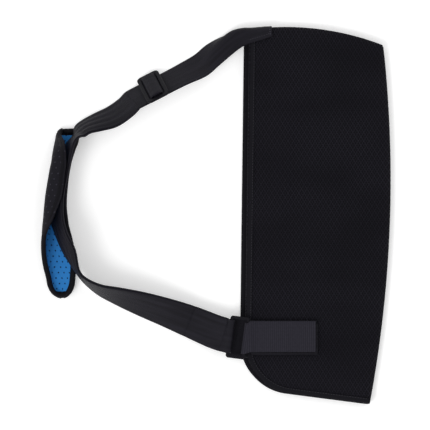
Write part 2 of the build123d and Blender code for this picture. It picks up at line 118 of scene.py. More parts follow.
class Nodes:
    """Short words for building one material's node tree."""

    def __init__(self, name, roughness, specular, sheen=0.0):
        self.material = bpy.data.materials.new(name)
        self.material.use_nodes = True
        self.tree = self.material.node_tree
        self.shader = self.tree.nodes["Principled BSDF"]
        settings = {
            "Roughness": roughness,
            "Specular IOR Level": specular,
            "Sheen Weight": sheen,
            "Sheen Roughness": 0.4,
        }
        for socket, value in settings.items():
            self.shader.inputs[socket].default_value = value

    def node(self, kind, **settings):
        """One new node with its settings."""
        made = self.tree.nodes.new(kind)
        for key, value in settings.items():
            setattr(made, key, value)
        return made

    def link(self, source, target):
        """A wire from one socket to another."""
        self.tree.links.new(source, target)

    def math(self, operation, first, second=0.0, third=0.0):
        """One math node; each operand is a socket or a number."""
        made = self.node("ShaderNodeMath", operation=operation)
        for socket, value in zip(made.inputs, (first, second, third)):
            if isinstance(value, (int, float)):
                socket.default_value = value
            else:
                self.link(value, socket)
        return made.outputs[0]

    def times(self, first, second, added=None):
        """The product of two operands, and a third one added to it if given."""
        if added is None:
            return self.math("MULTIPLY", first, second)
        return self.math("MULTIPLY_ADD", first, second, added)

    def held(self, value):
        """A value kept between 0 and 1."""
        return self.math("MAXIMUM", self.math("MINIMUM", value, 1.0), 0.0)

    def cloth_place(self):
        """The two cloth coordinates, in metres, from the UV map."""
        uv = self.node("ShaderNodeUVMap", uv_map="cloth")
        parts = self.node("ShaderNodeSeparateXYZ")
        self.link(uv.outputs["UV"], parts.inputs[0])
        return parts.outputs["X"], parts.outputs["Y"]

    def noise(self, scale, detail, vector=None):
        """Noise in object space, or along the given vector."""
        made = self.node("ShaderNodeTexNoise")
        made.inputs["Scale"].default_value = scale
        made.inputs["Detail"].default_value = detail
        if vector is None:
            vector = self.node("ShaderNodeTexCoord").outputs["Object"]
        self.link(vector, made.inputs["Vector"])
        return made.outputs["Fac"]

    def drawn_out(self, first, second, detail, gain, offset):
        """Noise over two scaled cloth coordinates, with more contrast, from 0 to 1."""
        vector = self.node("ShaderNodeCombineXYZ")
        for axis, (place, scale) in (("X", first), ("Y", second)):
            self.link(self.times(place, scale), vector.inputs[axis])
        noise = self.noise(1.0, detail, vector.outputs[0])
        return self.held(self.times(noise, gain, offset))

    def ridges(self, place, pitch):
        """A smooth wave from 0 to 1 with one crest in each pitch."""
        wave = self.math("SINE", self.times(place, 2 * math.pi / pitch))
        return self.times(wave, 0.5, 0.5)

    def lines(self, place, pitch, width):
        """1 on thin lines a pitch apart, falling to 0 over their width."""
        turns = self.math("DIVIDE", place, pitch)
        away = self.math("PINGPONG", turns, 0.5)
        share = self.math("DIVIDE", away, width / pitch)
        return self.math("SUBTRACT", 1.0, self.math("MINIMUM", share, 1.0))

    def dots(self, across, along, pitch_across, pitch_along, radius):
        """1 inside round dots in staggered rows, 0 outside them."""
        row = self.math("FLOOR", self.math("DIVIDE", along, pitch_along))
        odd = self.math("PINGPONG", row, 1.0)
        shifted = self.times(odd, pitch_across / 2, across)
        x = self.math("WRAP", shifted, pitch_across / 2, -pitch_across / 2)
        y = self.math("WRAP", along, pitch_along, 0.0)
        y = self.math("SUBTRACT", y, pitch_along / 2)
        squared = self.math("ADD", self.times(x, x), self.times(y, y))
        inside = self.math("SUBTRACT", radius, self.math("SQRT", squared))
        return self.held(self.math("DIVIDE", inside, radius * DOT_SOFTNESS))

    def blend(self, factor, low, high):
        """A colour between two, by a socket from 0 to 1."""
        made = self.node("ShaderNodeMix", data_type="RGBA")
        self.link(factor, made.inputs["Factor"])
        for socket, value in ((made.inputs[6], low), (made.inputs[7], high)):
            if isinstance(value, tuple):
                socket.default_value = (*value, 1.0)
            else:
                self.link(value, socket)
        return made.outputs[2]

    def finish(self, colour, height, depth):
        """Joins the colour and the bump height to the shader."""
        self.link(colour, self.shader.inputs["Base Color"])
        bump = self.node("ShaderNodeBump")
        bump.inputs["Distance"].default_value = depth
        self.link(height, bump.inputs["Height"])
        self.link(bump.outputs[0], self.shader.inputs["Normal"])
        return self.material


def grey(value):
    """Dyed black: a little violet in it."""
    return (value, value * 0.94, value * 1.32)


DIAMOND_WIDE, DIAMOND_TALL = 6.4 * MM, 10.3 * MM  # one diamond of the mesh
CORD_PITCH, PICK_PITCH = 1.25 * MM, 0.9 * MM  # webbing, across and along
HOLE_ACROSS, HOLE_ALONG, HOLE_RADIUS = 7.9 * MM, 6.5 * MM, 1.05 * MM  # neck pad


def mesh_material(name, line, ground, holes):
    """Spacer mesh: a raised diamond net over a darker open ground, with painted shade of soft
    folds in broad bands and patches.
    """
    n = Nodes(name, roughness=0.75, specular=0.05, sheen=0.02)
    x, y = n.cloth_place()
    slant = n.times(y, DIAMOND_WIDE / DIAMOND_TALL)
    strands = []
    for place in (n.math("ADD", x, slant), n.math("SUBTRACT", x, slant)):
        bold = n.lines(place, DIAMOND_WIDE, 0.95 * MM)
        thin = n.times(n.lines(place, DIAMOND_WIDE / 2, 0.8 * MM), 0.62)
        strands.append(n.math("MAXIMUM", bold, thin))
    net = n.math("MAXIMUM", *strands)
    fine = n.times(n.ridges(x, 1.15 * MM), n.ridges(n.math("ADD", y, x), 1.6 * MM))
    # Broad bands and patches, blended towards the holes' tone, are painted shade of soft
    # folds in the mesh.
    fold_shade_bands = n.drawn_out((x, 8.0), (y, 17.0), 1.0, 3.2, -1.2)
    painted_fold_shade = n.times(n.noise(38.0, 3.0), 0.4, n.times(fold_shade_bands, 0.65))
    shade = n.blend(fine, grey(holes), grey(ground))
    tone = n.blend(net, shade, grey(line))
    painted_shade_tone = n.blend(n.times(painted_fold_shade, 0.55), tone, grey(holes))
    height = n.times(fine, 0.35, net)
    return n.finish(painted_shade_tone, height, 0.0006)


def webbing_material(name, value, width):
    """Satin webbing: fine cords along it, finer picks across it, painted sheen in lengthwise
    streaks, pale edges.
    """
    n = Nodes(name, roughness=0.45, specular=0.07)
    along, across = n.cloth_place()
    cords = n.ridges(across, CORD_PITCH)
    picks = n.ridges(along, PICK_PITCH)
    weave = n.times(picks, 0.35, cords)
    edge = n.lines(n.math("ADD", across, width / 2), width, 1.6 * MM)
    # Lighter lengthwise streaks are painted sheen of the satin weave.
    painted_sheen_streaks = n.drawn_out((along, 14.0), (across, 210.0), 2.0, 3.0, -1.0)
    tone = n.blend(cords, grey(value * 0.72), grey(value * 1.1))
    tone = n.blend(n.times(painted_sheen_streaks, 0.75), tone, grey(value * 1.75))
    tone = n.blend(n.times(edge, 0.6), tone, grey(value * 1.5))
    return n.finish(tone, weave, 0.00016)


def tape_material(name, value, pitch, cross_weave=0.3):
    """Woven tape with ribs across its length and a finer weave between them."""
    n = Nodes(name, roughness=0.62, specular=0.07, sheen=0.02)
    along, across = n.cloth_place()
    ribs = n.ridges(along, pitch)
    fine = n.ridges(across, pitch * 0.7)
    weave = n.times(fine, cross_weave, ribs)
    worn = n.noise(420.0, 2.0)
    checks = n.times(fine, 0.4, n.times(ribs, 0.6))
    tone = n.blend(checks, grey(value * 0.45), grey(value * 1.5))
    tone = n.blend(n.times(worn, 0.8), tone, grey(value * 0.6))
    return n.finish(tone, weave, 0.00022)


def pad_material(name, base, hole, specular):
    """Foam-backed knit with rows of small punched holes."""
    n = Nodes(name, roughness=0.7, specular=specular, sheen=0.03)
    along, across = n.cloth_place()
    holes = n.dots(across, along, HOLE_ACROSS, HOLE_ALONG, HOLE_RADIUS)
    fine = n.times(n.ridges(across, 0.9 * MM), n.ridges(along, 0.9 * MM * 1.3))
    cloudy = n.noise(45.0, 3.0)
    dull = tuple(c * 0.72 for c in base)
    tone = n.blend(n.times(fine, 0.6), dull, base)
    tone = n.blend(n.times(cloudy, 0.4), tone, dull)
    tone = n.blend(holes, tone, hole)
    sunk = n.math("SUBTRACT", n.times(fine, 0.12), holes)
    return n.finish(tone, sunk, 0.0006)


def plastic_material(name, value):
    """Moulded acetal with a fine spark-eroded grain and slightly cloudy tone."""
    n = Nodes(name, roughness=0.3, specular=0.09)
    grain = n.noise(2600.0, 2.0)
    cloudy = n.noise(120.0, 3.0)
    tone = n.blend(n.times(cloudy, 0.6), grey(value), grey(value * 1.6))
    return n.finish(tone, grain, 0.00005)


def pile_material(name, value, scale):
    """Short hooks or loops: a dense speckle of ends."""
    n = Nodes(name, roughness=0.85, specular=0.1, sheen=0.2)
    ends = n.noise(scale, 4.0)
    tone = n.blend(ends, grey(value * 0.4), grey(value * 1.7))
    return n.finish(tone, ends, 0.0006)


def thread_material(name, value):
    """Twisted polyester thread."""
    n = Nodes(name, roughness=0.5, specular=0.3, sheen=0.1)
    twist = n.noise(3000.0, 1.0)
    return n.finish(n.blend(twist, grey(value * 0.7), grey(value * 1.3)), twist, 0.0001)


BLUE, BLUE_HOLE = (0.035, 0.26, 0.7), (0.003, 0.012, 0.035)
# Tones are linear: 0.01 is a worn black.
MATERIALS = {
    "mesh": mesh_material("spacer_mesh", 0.0185, 0.0085, 0.0035),
    "mesh_inside": mesh_material("spacer_mesh_inside", 0.012, 0.008, 0.005),
    "binding": tape_material("binding_tape", 0.009, 1.1 * MM),
    "webbing": webbing_material("webbing", 0.0092, 38.0 * MM),
    "tab_tape": tape_material("tab_tape", 0.0245, 2.3 * MM, cross_weave=0.05),
    "tab_base": webbing_material("tab_base_tape", 0.007, 36.0 * MM),
    "hook": pile_material("hook_pile", 0.02, 900.0),
    "loop": pile_material("loop_pile", 0.03, 500.0),
    "backing": pile_material("brushed_backing", 0.009, 700.0),
    "buckle_plastic": plastic_material("moulded_plastic", 0.0058),
    # The black knit's holes are painted lighter than the knit: painted highlights on the
    # perforations.
    "pad_outer": pad_material("pad_outer", grey(0.0132), grey(0.03), 0.06),
    "pad_blue": pad_material("pad_blue", BLUE, BLUE_HOLE, 0.1),
    "pad_tape": tape_material("pad_tape", 0.008, 0.8 * MM),
    "thread": thread_material("thread", 0.022),
    "thread_pale": thread_material("thread_pale", 0.07),
}


# ---- mesh making ----
RIM_BULGE = 0.8  # how far a sheet's cut edge bulges, as a share of half its thickness


def unit(vectors):
    """Vectors scaled to length one, along the last axis."""
    size = np.linalg.norm(vectors, axis=-1, keepdims=True)
    return vectors / np.maximum(size, 1e-12)


def smooth_rows(rows, per_span):
    """A Catmull-Rom curve through rows of numbers, per_span steps in each span."""
    rows = np.array(rows, dtype=float)
    padded = np.vstack((2 * rows[0] - rows[1], rows, 2 * rows[-1] - rows[-2]))
    found = []
    for a, b, c, d in zip(padded, padded[1:], padded[2:], padded[3:]):
        slope, bend, twist = c - a, 2 * a - 5 * b + 4 * c - d, 3 * b - a - 3 * c + d
        for step in range(per_span):
            t = step / per_span
            found.append(0.5 * (2 * b + slope * t + bend * t * t + twist * t ** 3))
    found.append(rows[-1])
    return np.array(found)


def smooth_grid(rows, per_span):
    """A smooth grid of points through rows of points."""
    flat = smooth_rows([np.ravel(row) for row in rows], per_span)
    return flat.reshape(len(flat), -1, 3)


def lengths(points):
    """The distance along a line of points to each of them."""
    steps = np.linalg.norm(np.diff(points, axis=0), axis=1)
    return np.concatenate(([0.0], np.cumsum(steps)))


def at_length(points, wanted, run=None):
    """Points at the wanted distances along a line of points, or along its run."""
    run = lengths(points) if run is None else run
    return np.stack([np.interp(wanted, run, column) for column in points.T], axis=1)


def new_piece(name, vertices, faces, places, material):
    """A smooth-shaded mesh with its cloth coordinates, both scaled to metres."""
    mesh = bpy.data.meshes.new(name)
    mesh.from_pydata([tuple(v) for v in np.array(vertices) * MM], [], faces)
    layer = mesh.uv_layers.new(name="cloth")
    places = np.array(places) * MM
    for loop in mesh.loops:
        layer.data[loop.index].uv = places[loop.vertex_index]
    mesh.validate()
    mesh.shade_smooth()
    mesh.materials.append(MATERIALS[material])
    made = bpy.data.objects.new(name, mesh)
    bpy.context.scene.collection.objects.link(made)
    return made


def grid_normals(points):
    """Unit normals of a grid of points."""
    down = np.gradient(points, axis=0)
    over = np.gradient(points, axis=1)
    return unit(np.cross(down, over))


def across_from_middle(width, count):
    """Evenly spaced places across a strip, from its middle."""
    return np.linspace(-width / 2, width / 2, count)


def dress(piece, slot, *nodes):
    """Hides the CAD nodes that a piece stands for; the slot is not used."""
    if nodes:
        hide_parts(*nodes)


def fix(piece, body, slot, *nodes):
    """Dresses a piece that moves with one body."""
    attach(piece, body)
    dress(piece, slot, *nodes)


def shell(name, points, thickness, material, places=None, crisp=False):
    """A closed sheet of cloth of one thickness round a grid of points.

    A crisp one keeps its faces' shading clear of its rim, so that two of them
    can meet end to end without a line.
    """
    rows, columns = points.shape[:2]
    normals = grid_normals(points)
    if places is None:
        along = lengths(points[:, columns // 2])
        over = lengths(points[rows // 2])
        over = over - over[-1] / 2
        places = np.stack(np.meshgrid(along, over, indexing="ij"), axis=-1)
    upper = (points + normals * thickness / 2).reshape(-1, 3)
    lower = (points - normals * thickness / 2).reshape(-1, 3)
    number = np.arange(rows * columns).reshape(rows, columns)
    ring = np.concatenate(
        (number[0, :-1], number[:-1, -1], number[-1, :0:-1], number[:0:-1, 0])
    )
    inner = np.concatenate(
        (number[1, :-1], number[:-1, -2], number[-2, :0:-1], number[:0:-1, 1])
    )
    flat = points.reshape(-1, 3)
    outward = unit(flat[ring] - flat[inner])
    rim = flat[ring] + outward * thickness / 2 * RIM_BULGE
    count = rows * columns
    faces = []
    for i in range(rows - 1):
        for j in range(columns - 1):
            a, b = number[i, j], number[i, j + 1]
            c, d = number[i + 1, j + 1], number[i + 1, j]
            faces.append((a, d, c, b))
            faces.append((a + count, b + count, c + count, d + count))
    for k in range(len(ring)):
        m = (k + 1) % len(ring)
        a, b = ring[k], ring[m]
        p, q = 2 * count + k, 2 * count + m
        faces.append((a, b, q, p))
        faces.append((p, q, b + count, a + count))
    spots = places.reshape(-1, 2)
    every_place = np.vstack((spots, spots, spots[ring]))
    faces = [tuple(int(v) for v in face) for face in faces]
    made = new_piece(name, np.vstack((upper, lower, rim)), faces, every_place, material)
    if crisp:
        for face in made.data.polygons[-2 * len(ring) :]:
            face.use_smooth = False
    return made


def skin(first, rings, sides):
    """Faces of a closed form: between its rings of points, and over both ends."""
    last = first + (rings - 1) * sides
    faces = []
    for base in range(first, last, sides):
        for k in range(sides):
            a, b = base + k, base + (k + 1) % sides
            faces.append((a, b, b + sides, a + sides))
    faces.append(tuple(first + k for k in range(sides))[::-1])
    faces.append(tuple(last + k for k in range(sides)))
    return faces


def tube(name, sections, material):
    """A closed form swept through rings of points."""
    rows, columns = sections.shape[:2]
    along = lengths(sections.mean(axis=1))
    around = lengths(sections[rows // 2])
    places = np.stack(np.meshgrid(along, around, indexing="ij"), axis=-1).reshape(-1, 2)
    faces = skin(0, rows, columns)
    return new_piece(name, sections.reshape(-1, 3), faces, places, material)


# ---- pouch ----
# From here on, sizes and places are in millimetres unless they say otherwise.
PANEL_T = 3.0
DRAWN_T = PANEL_T * 0.93  # the mesh gives a little under its binding
PANEL_ROWS, PANEL_COLUMNS = 190, 90
FRONT_Z = 11.0
FRONT_TOP = FRONT_Z + PANEL_T
SEAM_Z = FRONT_Z - 4.0
FRONT_INSET = 6.0  # how far the front panel's mouth lies back from the back's
BIND_W = 6.5
BIND_T = 0.8
MOUTH_TOP = (35.5, 219.0)
MOUTH_BOTTOM = (30.0, -204.5)
HAND_CORNER = (182.5, -223.2)
SIDE_MIDDLE = (206.6, 0.0)
ELBOW_CORNER = (198.5, 200.5)
ELBOW_MIDDLE = (105.0, 221.0)
SIDE_SEAM = (HAND_CORNER, SIDE_MIDDLE, ELBOW_CORNER)
ELBOW_SEAM = (MOUTH_TOP, ELBOW_MIDDLE, ELBOW_CORNER)
CORNER_R = 60.0
SEAM_ROLL = 13.0  # how far in from a sewn edge the panel starts to roll down
SEAM_SLACK = 0.8  # this close to a sewn edge the panel is all the way down
RIM_RISE = 0.7  # a panel's last row above or below the seam
FULL_ROLL = 0.999  # just short of 1, so that the roll's curve never stands upright
FRONT_SWELL = 1.8
# Swells of the loose mesh: height, waves along X and Y per 100 mm, and phase.
SWELLS = [
    (0.5, 1.9, 1.1, 0.4),
    (0.35, 3.1, -1.7, 2.0),
    (0.25, 0.8, 3.9, 1.3),
    (0.15, 5.3, 4.4, 0.0),
    (0.8, 0.6, 7.2, 0.5),
]
SEAM_HOLD, TAB_HOLD, BINDING_HOLD = 40.0, 50.0, 45.0  # how far each holds it flat
BINDING_X, BINDING_Y = 40.0, -205.0  # the front binding's inner edges, roughly
BOUND_LOOSENESS = 0.3  # what is left beside a binding
MOUTH_STEPS, BEND_STEPS, HAND_STEPS, BIND_STEPS = 140, 40, 60, 320
SIDE_STEPS, ELBOW_STEPS = 120, 80
STITCH_INSET = BIND_W - 1.3


def arc(start, middle, end, count):
    """Points along the circle through three points."""
    (ax, ay), (bx, by), (cx, cy) = start, middle, end
    d = 2 * (ax * (by - cy) + bx * (cy - ay) + cx * (ay - by))
    a2, b2, c2 = ax * ax + ay * ay, bx * bx + by * by, cx * cx + cy * cy
    ux = (a2 * (by - cy) + b2 * (cy - ay) + c2 * (ay - by)) / d
    uy = (a2 * (cx - bx) + b2 * (ax - cx) + c2 * (bx - ax)) / d
    radius = math.hypot(ax - ux, ay - uy)
    first = math.atan2(ay - uy, ax - ux)
    last = math.atan2(cy - uy, cx - ux)
    turn = (last - first + math.pi) % (2 * math.pi) - math.pi
    angles = first + turn * np.linspace(0, 1, count)
    return np.stack((ux + radius * np.cos(angles), uy + radius * np.sin(angles)), axis=1)


def mouth_edge(inset, margin=0.0):
    """The open edge from the elbow end, round the hand corner, to the side seam.

    Also gives the number of the point in the middle of the corner.
    """
    top = np.array((MOUTH_TOP[0] + inset + margin, MOUTH_TOP[1]))
    corner = np.array((MOUTH_BOTTOM[0] + inset + margin, MOUTH_BOTTOM[1] + margin))
    hand = np.array((HAND_CORNER[0], HAND_CORNER[1] + margin))
    radius = CORNER_R - margin
    up, out = unit(top - corner), unit(hand - corner)
    half = math.acos(float(np.dot(up, out))) / 2
    reach = radius / math.tan(half)
    centre = corner + unit(up + out) * radius / math.sin(half)
    start, end = corner + up * reach, corner + out * reach
    middle = centre - unit(up + out) * radius
    bend = arc(start, middle, end, BEND_STEPS)
    straight = np.linspace(top, start, MOUTH_STEPS)[:-1]
    edge = np.vstack((straight, bend, np.linspace(end, hand, HAND_STEPS)[1:]))
    return edge, len(straight) + BEND_STEPS // 2


def panel_grid(inset):
    """Plan positions over a panel, from its four edges, hand end first."""
    open_edge, corner = mouth_edge(inset)
    left = open_edge[: corner + 1][::-1]
    bottom = open_edge[corner:]
    right = arc(*SIDE_SEAM, SIDE_STEPS)
    top = arc(*ELBOW_SEAM, ELBOW_STEPS)
    top = top + np.array((inset, 0.0)) * np.linspace(1, 0, len(top))[:, None]
    left[-1] = top[0]
    v, u = np.linspace(0, 1, PANEL_ROWS), np.linspace(0, 1, PANEL_COLUMNS)
    left = at_length(left, v * lengths(left)[-1])[:, None]
    right = at_length(right, v * lengths(right)[-1])[:, None]
    bottom = at_length(bottom, u * lengths(bottom)[-1])[None]
    top = at_length(top, u * lengths(top)[-1])[None]
    u, v = u[None, :, None], v[:, None, None]
    corners = (
        (1 - u) * (1 - v) * bottom[:, :1]
        + u * (1 - v) * bottom[:, -1:]
        + (1 - u) * v * top[:, :1]
        + u * v * top[:, -1:]
    )
    return (1 - u) * left + u * right + (1 - v) * bottom + v * top - corners


def seam_distance(plan):
    """How far each plan position is from the side seam and the elbow seam."""
    edges = (arc(*SIDE_SEAM, 2 * SIDE_STEPS), arc(*ELBOW_SEAM, 2 * ELBOW_STEPS))
    flat = plan.reshape(-1, 2)
    near = np.full(len(flat), np.inf)
    for spot in np.vstack(edges):
        near = np.minimum(near, np.hypot(*(flat - spot).T))
    return near.reshape(plan.shape[:2])


def ripples(plan):
    """Slow dents and swells, as soft mesh has when it lies by itself."""
    x, y = plan[..., 0] / 100, plan[..., 1] / 100
    return sum(
        height * np.sin(x_waves * x + y_waves * y + phase)
        for height, x_waves, y_waves, phase in SWELLS
    )


def looseness(plan, away):
    """0 where a seam or the tab holds the panel flat, 1 where it lies free."""
    x, y = plan[..., 0], plan[..., 1]
    from_tab = np.hypot(x - TAB_MIDDLE_X, y - TAB_Y)
    return (
        np.clip(away / SEAM_HOLD, 0, 1)
        * np.clip((from_tab - TAB_HOLD) / TAB_HOLD, 0, 1)
        * np.clip((x - BINDING_X) / BINDING_HOLD, BOUND_LOOSENESS, 1)
        * np.clip((y - BINDING_Y) / BINDING_HOLD, BOUND_LOOSENESS, 1)
    )


def panel_piece(name, inset, low_z, edge_z, swell, material):
    """One mesh panel that rolls to the seam level at its two sewn edges."""
    plan = panel_grid(inset)
    away = seam_distance(plan)
    share = np.clip(1 - (away - SEAM_SLACK) / SEAM_ROLL, 0, 1)
    roll = 1 - np.sqrt(1 - share ** 2 * FULL_ROLL)
    loose = swell * looseness(plan, away)
    middle_z = low_z + PANEL_T / 2
    height = middle_z + ripples(plan) * loose + (edge_z - middle_z) * roll
    return shell(name, np.dstack((plan, height)), DRAWN_T, material, plan)


def binding_piece(name, inset, low, high):
    """Tape folded over a panel's open edge, with rounded sides."""
    edge, _ = mouth_edge(inset)
    edge = at_length(edge, np.linspace(0, lengths(edge)[-1], BIND_STEPS))
    inward = np.gradient(edge, axis=0)
    inward = unit(np.stack((-inward[:, 1], inward[:, 0]), axis=1))
    middle, half = (low + high) / 2, (high - low) / 2
    # In from the edge, and up as a share of half the height.
    profile = [(BIND_W, -0.95), (BIND_W * 0.8, -1.0), (BIND_W * 0.3, -1.0)]
    profile += [(0.9, -0.86), (0.15, -0.45), (0.0, 0.0)]
    profile += [(a, -b) for a, b in profile[-2::-1]]
    pucker = 0.12 * np.sin(np.linspace(0, 150, len(edge)))
    rings = [
        [
            (*(spot + side * a), middle + b * half + (lift if 0.5 < b else 0))
            for a, b in profile
        ]
        for spot, side, lift in zip(edge, inward, pucker)
    ]
    return tube(name, np.array(rings), "binding")


# A stitch: where its rings are along it, and their size as a share of its radius.
STITCH_ALONG = np.array((0, 0.12, 0.5, 0.88, 1))
STITCH_SIZES = 0.28 * np.array((0.25, 0.85, 1.0, 0.85, 0.25))
STITCH_SHARE = 0.62  # of the pitch; the rest is the gap
STITCH_LIFT = 0.1
STITCH_SIDES = 6


def stitch_row(name, path, pitch=3.2, tone="thread"):
    """Stitches lying along a line: short capsules with gaps between them."""
    starts = np.arange(pitch * 0.3, lengths(path)[-1] - pitch, pitch)
    vertices, faces, places = [], [], []
    for start in starts:
        stations = at_length(path, start + pitch * STITCH_SHARE * STITCH_ALONG)
        heading = unit(stations[-1] - stations[0])
        side = unit(np.cross(heading, UP))
        first = len(vertices)
        for spot, size in zip(stations, STITCH_SIZES):
            for k in range(STITCH_SIDES):
                angle = 2 * math.pi * k / STITCH_SIDES
                ring = side * math.cos(angle) + np.cross(side, heading) * math.sin(angle)
                vertices.append(spot + ring * size + UP * STITCH_LIFT)
                places.append((start, k * 0.1))
        faces += skin(first, len(stations), STITCH_SIDES)
    return new_piece(name, vertices, faces, places, tone)


def binding_stitches(name, inset, height):
    """The stitch line that holds a binding, near its inner edge."""
    line, _ = mouth_edge(inset, STITCH_INSET)
    line = np.column_stack((line, np.full(len(line), height)))
    return stitch_row(name, line)


def with_front(piece, slot, *nodes):
    """Bakes the place of a piece of the pouch front, which stays shut at its elbow end, into
    its mesh, and hides the CAD nodes it stands for.
    """
    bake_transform(piece)
    dress(piece, slot, *nodes)


def build_pouch():
    """Both panels, their bindings and the stitching."""
    back = panel_piece("back_panel_mesh", 0.0, 0.0, SEAM_Z - RIM_RISE, 0.0, "mesh_inside")
    fix(back, "pouch_back", "mesh", "back_panel")

    front = panel_piece(
        "front_panel_mesh", FRONT_INSET, FRONT_Z, SEAM_Z + RIM_RISE, FRONT_SWELL, "mesh"
    )
    with_front(front, "mesh", "front_panel")

    back_tape = binding_piece("back_binding_tape", 0.0, 0.0, PANEL_T + BIND_T)
    fix(back_tape, "pouch_back", "binding", "back_binding")
    back_thread = binding_stitches("back_binding_stitches", 0.0, PANEL_T + BIND_T)
    fix(back_thread, "pouch_back", "thread")

    top = FRONT_TOP + BIND_T
    front_tape = binding_piece("front_binding_tape", FRONT_INSET, FRONT_Z - BIND_T, top)
    with_front(front_tape, "binding", "front_binding")
    with_front(binding_stitches("front_binding_stitches", FRONT_INSET, top), "thread")


# ---- webbing ----
WEB_W = 38.0
WEB_T = 1.4
PLY_GAP = 0.2
# The under ply starts square behind the top one and slips across as it runs on.
PLY_START, PLY_SHIFT = -0.6, 1.6  # its shift at the slider, and further on
SLIP_REACH = 32.0  # and how far on that is
# Stations of the strap: x, y, height of the lower edge, lean in degrees.
ELBOW_STATIONS = [
    (31.0, 206.5, 3.0, 24),
    (18.0, 201.0, 2.5, 29),
    (4.0, 192.0, 1.8, 35),
    (-17.0, 177.0, 1.4, 40),
    (-36.0, 167.2, 1.9, 45),
    (-50.0, 160.0, 2.2, 47),
    (-94.0, 137.5, 2.2, 47),
]
SHOULDER_STATIONS = [
    (-98.0, 135.4, 2.2, 47),
    (-106.0, 127.5, 1.8, 48),
    (-121.0, 117.5, 1.5, 50),
    (-138.5, 111.0, 2.0, 57),
    (-151.0, 106.0, 4.5, 63),
    (-160.0, 99.5, 8.0, 65),
]
NECK_STATIONS = [
    (-165.5, 92.0, 9.5, 80),
    (-173.2, 80.0, 8.0, 74),
    (-181.8, 55.0, 5.0, 65),
    (-187.6, 27.0, 4.6, 65),
    (-188.2, 0.0, 5.0, 66),
    (-182.3, -22.0, 8.0, 69),
    (-171.9, -44.0, 11.0, 70),
]
BUCKLE_STATIONS = [
    (-162.3, -66.2, 10.0, 84),
    (-153.0, -78.5, 6.0, 81),
    (-136.0, -89.5, 2.0, 72),
    (-115.0, -97.0, 1.5, 60),
    (-88.0, -106.0, 1.5, 46),
    (-59.0, -116.0, 2.0, 34),
    (-30.0, -127.0, 4.5, 21),
    (-3.0, -138.0, 13.5, 9),
    (10.0, -142.2, 19.0, 2),
]
STRAP = ELBOW_STATIONS + SHOULDER_STATIONS + NECK_STATIONS + BUCKLE_STATIONS
SHOULDER_START = len(ELBOW_STATIONS)
NECK_START = SHOULDER_START + len(SHOULDER_STATIONS)
BUCKLE_START = NECK_START + len(NECK_STATIONS)
STEPS = 10  # rows of points from one station to the next
FOLD_STEPS, SLIDER_STEPS = 6, 8  # the same where webbing turns round a bar
ACROSS = across_from_middle(WEB_W, 21)
STRAP_BOW = 0.4
# Where the strap leaves the pad it is gathered: it bows and creases lengthwise.
# Each gather has its y, its spread along y, its bow and the height of its creases.
GATHERS = [(-46.0, 26.0, 2.8, 0.8), (106.0, 15.0, 0.8, 0.5)]
CREASE_PITCH = 9.5


def strap_frames():
    """Middle, inward-rising across direction and face direction along the strap."""
    rows = smooth_rows(STRAP, STEPS)
    heading = np.gradient(rows[:, :2], axis=0)
    heading = unit(np.column_stack((heading, np.zeros(len(rows)))))
    inward = np.stack((-heading[:, 1], heading[:, 0], heading[:, 2]), axis=1)
    lean = np.radians(rows[:, 3])[:, None]
    across = inward * np.cos(lean) + UP * np.sin(lean)
    face = np.cross(heading, across)
    middle = np.column_stack((rows[:, :2], rows[:, 2] + WEB_W / 2 * np.sin(lean[:, 0])))
    return middle, across, face


STRAP_MIDDLE, STRAP_ACROSS, STRAP_FACE = strap_frames()
STRAP_RUN = lengths(STRAP_MIDDLE)
SLIP = np.clip((STRAP_RUN - STRAP_RUN[SHOULDER_START * STEPS]) / SLIP_REACH, 0, 1)


def strap_grid(chosen, lift=0.0, shift=0.0):
    """Points over a stretch of webbing; the top ply has no shift."""
    middle = STRAP_MIDDLE[chosen, None]
    across = STRAP_ACROSS[chosen, None]
    face = STRAP_FACE[chosen, None]
    arched = (1 - (ACROSS / ACROSS[-1]) ** 2)[None]
    creased = np.sin(2 * math.pi * ACROSS / CREASE_PITCH)[None]
    bow = STRAP_BOW * arched
    for y, spread, arch_height, crease_height in GATHERS:
        near = np.exp(-(((middle[..., 1] - y) / spread) ** 2))
        bow = bow + near * (arch_height * arched + crease_height * creased)
    slipped = np.where(shift, PLY_START + (shift - PLY_START) * SLIP[chosen], 0.0)
    over = ACROSS[None] + slipped[:, None]
    return middle + across * over[..., None] + face * (lift + bow)[..., None]


def strap_piece(name, first, last, node, lift=0.0, shift=0.0):
    """The visible webbing between two stations, in place of its CAD node."""
    chosen = slice(first * STEPS, last * STEPS + 1)
    points = strap_grid(chosen, lift, shift)
    places = np.stack(np.meshgrid(STRAP_RUN[chosen], ACROSS, indexing="ij"), axis=-1)
    made = shell(name, points, WEB_T, "webbing", places, crisp=True)
    dress(made, "webbing", node)
    return made


# The strap's end at the pouch's elbow corner, folded lengthwise over the edge.
# Front edge x, y, height; heading below -X; slope of the front part; its width;
# radius of the turn and how far it turns.
ELBOW_FOLD = [
    (67.5, 211.6, 15.9, 4, 0, 4.5, 7.3, 180),
    (58.0, 208.4, 16.0, 10, 0, 7.0, 7.3, 180),
    (48.4, 205.5, 16.1, 14, 2, 9.5, 7.3, 178),
    (38.5, 202.4, 16.6, 18, 5, 13.0, 7.4, 160),
    (30.0, 197.9, 17.4, 25, 12, 16.0, 8.5, 112),
    (20.4, 190.4, 19.0, 31, 22, 17.0, 12.0, 62),
    (5.5, 177.5, 22.0, 33, 32, 18.0, 22.0, 20),
]
ELBOW_JOINS = 3  # the strap's own stations take over from this one
ELBOW_PITCH = 2.8  # of its stitches
ELBOW_NODES = ("strap_elbow_run", "strap_elbow_front", "strap_elbow_back", "strap_elbow_fold")
ON_FLOOR = WEB_T / 2 + 0.1  # the lowest that the middle of the webbing may lie


